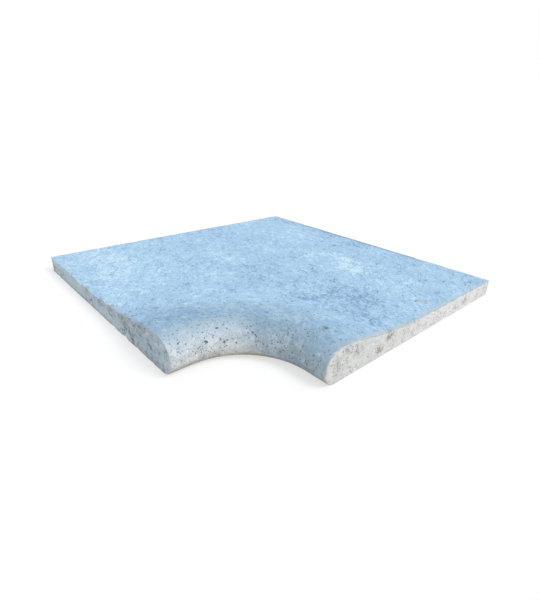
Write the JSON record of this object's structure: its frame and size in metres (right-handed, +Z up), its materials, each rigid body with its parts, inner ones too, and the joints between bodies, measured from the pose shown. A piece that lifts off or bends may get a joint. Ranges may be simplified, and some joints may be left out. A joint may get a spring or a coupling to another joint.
{
  "type": "pool coping stone",
  "caption": "Square cast-stone coping for the inner corner of a pool: flat back rising in a shallow wave to a rounded nose that sweeps round the missing corner.",
  "frame": {"origin": "centre of the square footprint, on the underside that the stone is bedded on", "axes": "+Z up; X and Y run along the sides of the square; the missing corner with the rounded nose is at +X, -Y; the joint faces look along -Y and +X, the plain back faces along -X and +Y"},
  "size_m": [0.5, 0.5, 0.042],
  "materials": {
    "cast_stone": "matt, finely pitted"
  },
  "bodies": {
    "root": {"coping_stone": "cast_stone"}
  },
  "joints": []
}
